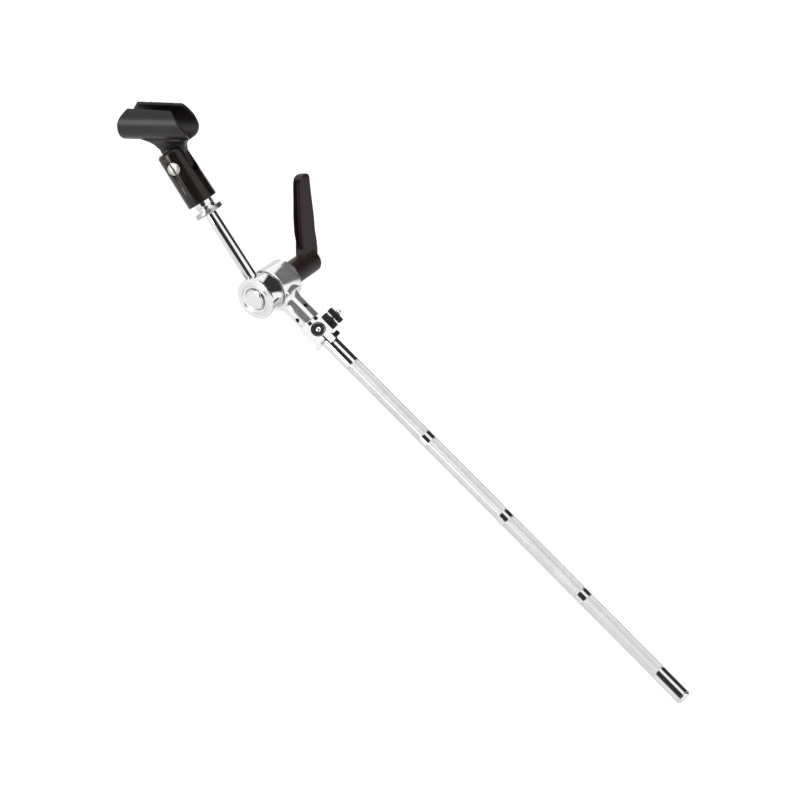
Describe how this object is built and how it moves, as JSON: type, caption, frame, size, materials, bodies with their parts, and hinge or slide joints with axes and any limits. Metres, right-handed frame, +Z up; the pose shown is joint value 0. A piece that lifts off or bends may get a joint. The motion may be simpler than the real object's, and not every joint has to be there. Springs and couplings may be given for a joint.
{
  "type": "microphone boom arm",
  "caption": "Chrome boom arm tube with a sliding memory lock, a lever-clamped tilter, an upper rod and a pivoting open microphone clip.",
  "frame": {"origin": "centre of the flat on the boom tube's free end", "axes": "+X along the boom tube from the tilter to its free end; the tilter's cap faces -Y; +Z up when the boom is level"},
  "size_m": [0.6327, 0.1036, 0.092],
  "materials": {
    "chrome": "polished",
    "satin_chrome": "satin",
    "knurled_chrome": "polished with knurled zones",
    "nickel": "satin nickel plate",
    "steel": "plain",
    "black_steel": "black oxide",
    "brass": "turned",
    "fibre": "matte",
    "lever_plastic": "fine moulded texture",
    "gloss_plastic": "semi-gloss",
    "matte_plastic": "matte"
  },
  "bodies": {
    "boom": {"boom_tube": "knurled_chrome", "boom_end_plug": "chrome", "receiver_body": "satin_chrome", "receiver_screw_top": "black_steel", "receiver_screw_front": "black_steel", "friction_disc": "fibre", "spring_washer": "steel", "thrust_washer": "nickel"},
    "tilter": {"tilter_body": "chrome", "hub_cap": "chrome", "cap_disc": "chrome", "upper_rod": "chrome", "rod_cross_pin": "steel", "thread_adapter": "chrome"},
    "stud": {"tension_stud": "steel", "lever_insert": "nickel", "lever_screw": "steel"},
    "lever": {"lever_handle": "lever_plastic", "lever_spring": "steel"},
    "lock_ring": {"lock_ring": "nickel"},
    "clip": {"clip_base": "gloss_plastic", "clip_thread_insert": "brass", "pivot_nut": "nickel", "clip_washer_back": "nickel", "clip_washer_front": "nickel"},
    "cradle": {"clip_cradle": "matte_plastic"},
    "pivot_screw": {"pivot_screw": "nickel"},
    "lock": {"lock_body": "chrome", "lock_thumb_stud": "chrome", "lock_washer": "chrome"},
    "lock_grip_screw": {"lock_grip_screw": "chrome"},
    "lock_thumb_nut": {"lock_thumb_nut": "black_steel"},
    "lock_jam_nut": {"lock_jam_nut": "black_steel"},
    "lock_key_screw": {"lock_key_screw": "black_steel"}
  },
  "joints": [
    {"name": "hub_tilt", "type": "hinge", "parent": "boom", "child": "tilter", "pos_m": [-0.459, 0, 0], "axis": [0, 1, 0], "range_deg": [-150, 125]},
    {"name": "lever_swing", "type": "hinge", "parent": "boom", "child": "stud", "pos_m": [-0.459, 0, 0], "axis": [0, 1, 0], "range_deg": [-75, 75]},
    {"name": "lever_lift", "type": "slide", "parent": "stud", "child": "lever", "axis": [0, 1, 0], "range_m": [0, 0.004], "stiffness_N_per_m": 1500, "springref_m": -0.004, "deforming": ["lever_spring"]},
    {"name": "lock_ring_turn", "type": "hinge", "parent": "tilter", "child": "lock_ring", "pos_m": [-0.53299, -0.0165, 0.02305], "axis": [-0.9548, 0, 0.2974], "continuous": true},
    {"name": "clip_turn", "type": "hinge", "parent": "tilter", "child": "clip", "pos_m": [-0.55448, -0.0165, 0.02974], "axis": [-0.9548, 0, 0.2974], "continuous": true},
    {"name": "clip_pivot", "type": "hinge", "parent": "clip", "child": "cradle", "pos_m": [-0.57357, -0.0165, 0.03569], "axis": [-0.08, 0.9632, -0.2568], "range_deg": [-100, 55]},
    {"name": "pivot_screw_turn", "type": "hinge", "parent": "clip", "child": "pivot_screw", "pos_m": [-0.57357, -0.0165, 0.03569], "axis": [-0.08, 0.9632, -0.2568], "continuous": true},
    {"name": "lock_slide", "type": "slide", "parent": "boom", "child": "lock", "axis": [1, 0, 0], "range_m": [0, 0.383]},
    {"name": "lock_grip_turn", "type": "hinge", "parent": "lock", "child": "lock_grip_screw", "pos_m": [-0.4084, 0, 0], "axis": [0, 0.6947, -0.7193], "continuous": true},
    {"name": "lock_thumb_turn", "type": "hinge", "parent": "lock", "child": "lock_thumb_nut", "pos_m": [-0.4084, 0.00791, 0.00764], "axis": [0, 0.7193, 0.6947], "continuous": true},
    {"name": "lock_jam_turn", "type": "hinge", "parent": "lock", "child": "lock_jam_nut", "pos_m": [-0.4084, 0.01223, 0.01181], "axis": [0, 0.7193, 0.6947], "continuous": true},
    {"name": "lock_key_turn", "type": "hinge", "parent": "lock", "child": "lock_key_screw", "pos_m": [-0.3959, -0.00409, 0.00856], "axis": [0, 0.7193, 0.6947], "continuous": true}
  ]
}
